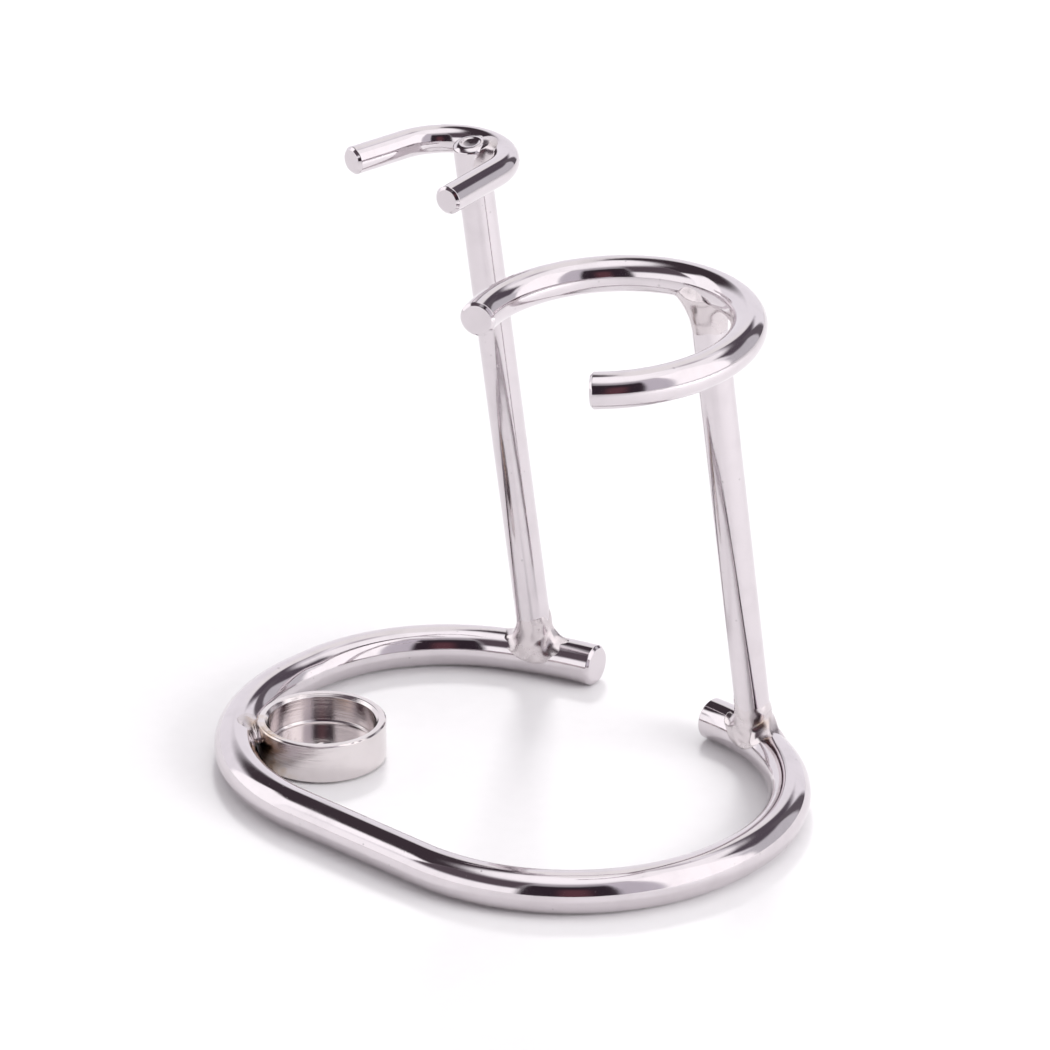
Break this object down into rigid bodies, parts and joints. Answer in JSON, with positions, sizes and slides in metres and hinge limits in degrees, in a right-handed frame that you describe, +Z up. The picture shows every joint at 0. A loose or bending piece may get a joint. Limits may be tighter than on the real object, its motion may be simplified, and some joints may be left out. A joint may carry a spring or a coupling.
{
  "type": "razor and brush stand",
  "caption": "Chrome-plated bent-wire stand: a kidney-shaped base loop, two leaning posts, a U fork and handle cup for a safety razor, and an open ring for a shaving brush.",
  "frame": {"origin": "middle of the base loop's footprint, on the table", "axes": "+X runs along the straight front run of the base from the razor's side to the brush's side, +Y points to the back where the posts are welded, +Z up"},
  "size_m": [0.09, 0.0683, 0.088],
  "materials": {
    "plated_wire": "bright chrome plate over bent round steel wire, fine pits and wiping marks",
    "plated_cup": "bright chrome plate over a turned steel cup, turning marks left showing",
    "plated_weld": "chrome plate over a welded or brazed bead, satin and slightly lumpy with a warm heat tint"
  },
  "bodies": {
    "root": {"base_loop": "plated_wire", "razor_post": "plated_wire", "brush_post": "plated_wire", "razor_fork": "plated_wire", "brush_ring": "plated_wire", "handle_cup": "plated_cup", "razor_foot_weld": "plated_weld", "brush_foot_weld": "plated_weld", "fork_weld": "plated_weld", "ring_weld": "plated_weld", "cup_weld": "plated_weld"}
  },
  "joints": []
}
